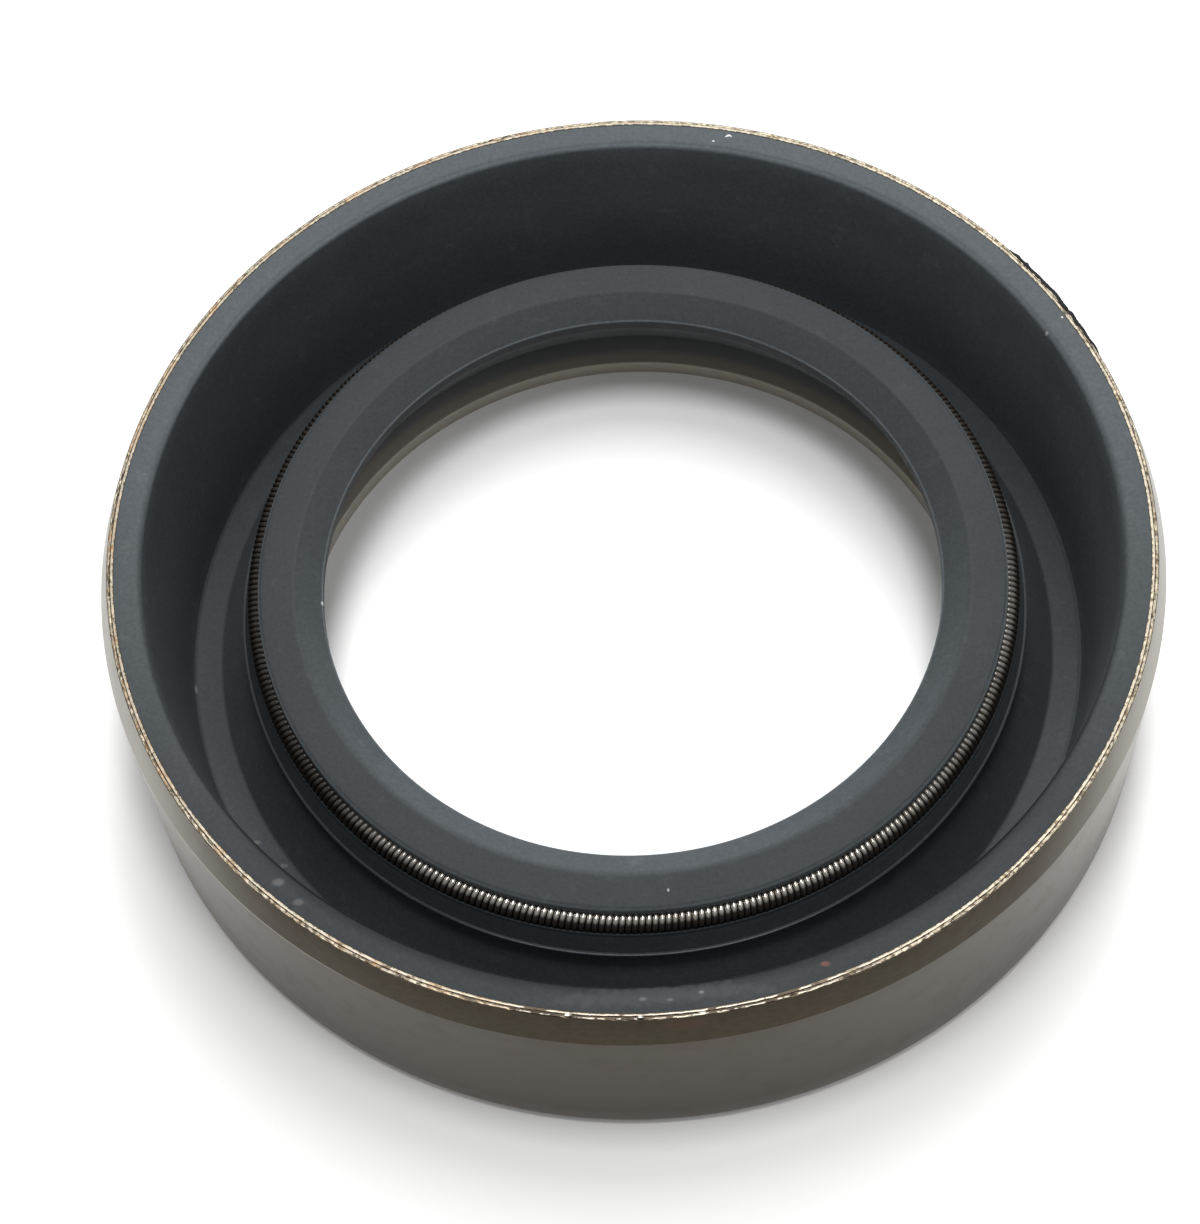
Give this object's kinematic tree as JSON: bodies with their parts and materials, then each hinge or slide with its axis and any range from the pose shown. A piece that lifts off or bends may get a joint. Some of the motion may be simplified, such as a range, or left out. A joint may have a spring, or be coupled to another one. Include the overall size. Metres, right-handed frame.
{
  "type": "radial shaft seal",
  "caption": "Round metal-cased oil seal: steel cup lined with rubber, a sealing lip round its bore and a garter spring in the groove behind the lip.",
  "frame": {"origin": "on the shaft's axis, in the plane of the flange's flat back, which the seal stands on", "axes": "+Z along the shaft's axis, towards the open end of the case, where the spring is; the seal is the same all round"},
  "size_m": [0.065, 0.065, 0.015],
  "materials": {
    "case_steel": "phosphated pressed steel, ground satin on the cylinder, bare and worn along the cut edge",
    "seal_rubber": "matt slate grey moulded nitrile rubber",
    "spring_steel": "bright drawn spring wire"
  },
  "bodies": {
    "root": {"case": "case_steel", "sealing_element": "seal_rubber", "garter_spring": "spring_steel"}
  },
  "joints": []
}
